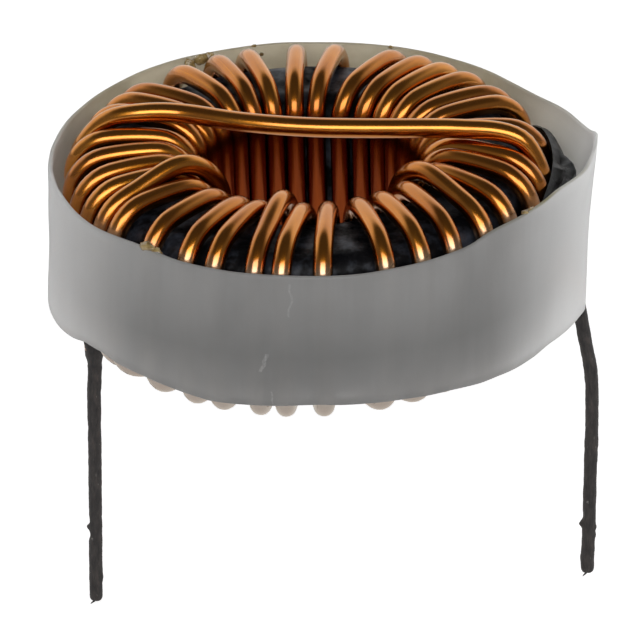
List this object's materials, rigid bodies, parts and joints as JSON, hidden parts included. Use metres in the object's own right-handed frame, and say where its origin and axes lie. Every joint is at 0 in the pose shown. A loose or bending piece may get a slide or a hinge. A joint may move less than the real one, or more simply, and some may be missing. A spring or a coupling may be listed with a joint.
{
  "type": "toroidal inductor",
  "caption": "Ring core wound with a layer of enamelled copper wire and held in a folded translucent sleeve, with tinned wire leads for a circuit board.",
  "frame": {"origin": "middle of the two leads, on the plane below which both run straight, where a circuit board takes them", "axes": "+X towards the lead under the sleeve's fold, +Y across the leads towards the side that the camera doesn't face, +Z away from the board"},
  "size_m": [0.0297, 0.0272, 0.0298],
  "materials": {
    "core_coat": "dark blue-grey coat over a pressed powder core, satin",
    "enamelled_copper": "copper wire under clear brown enamel, glossy",
    "tinned_wire": "dull dark-grey tinned wire, slightly rough",
    "sleeve_film": "translucent milky film, softly glossy",
    "black_tape": "black insulating tape folded on itself, slightly glossy",
    "varnish": "yellow-brown dried varnish, glossy"
  },
  "bodies": {
    "root": {"core": "core_coat", "winding": "enamelled_copper", "left_lead": "tinned_wire", "right_lead": "tinned_wire", "sleeve": "sleeve_film", "insulating_pad": "black_tape", "varnish_dabs": "varnish"}
  },
  "joints": []
}
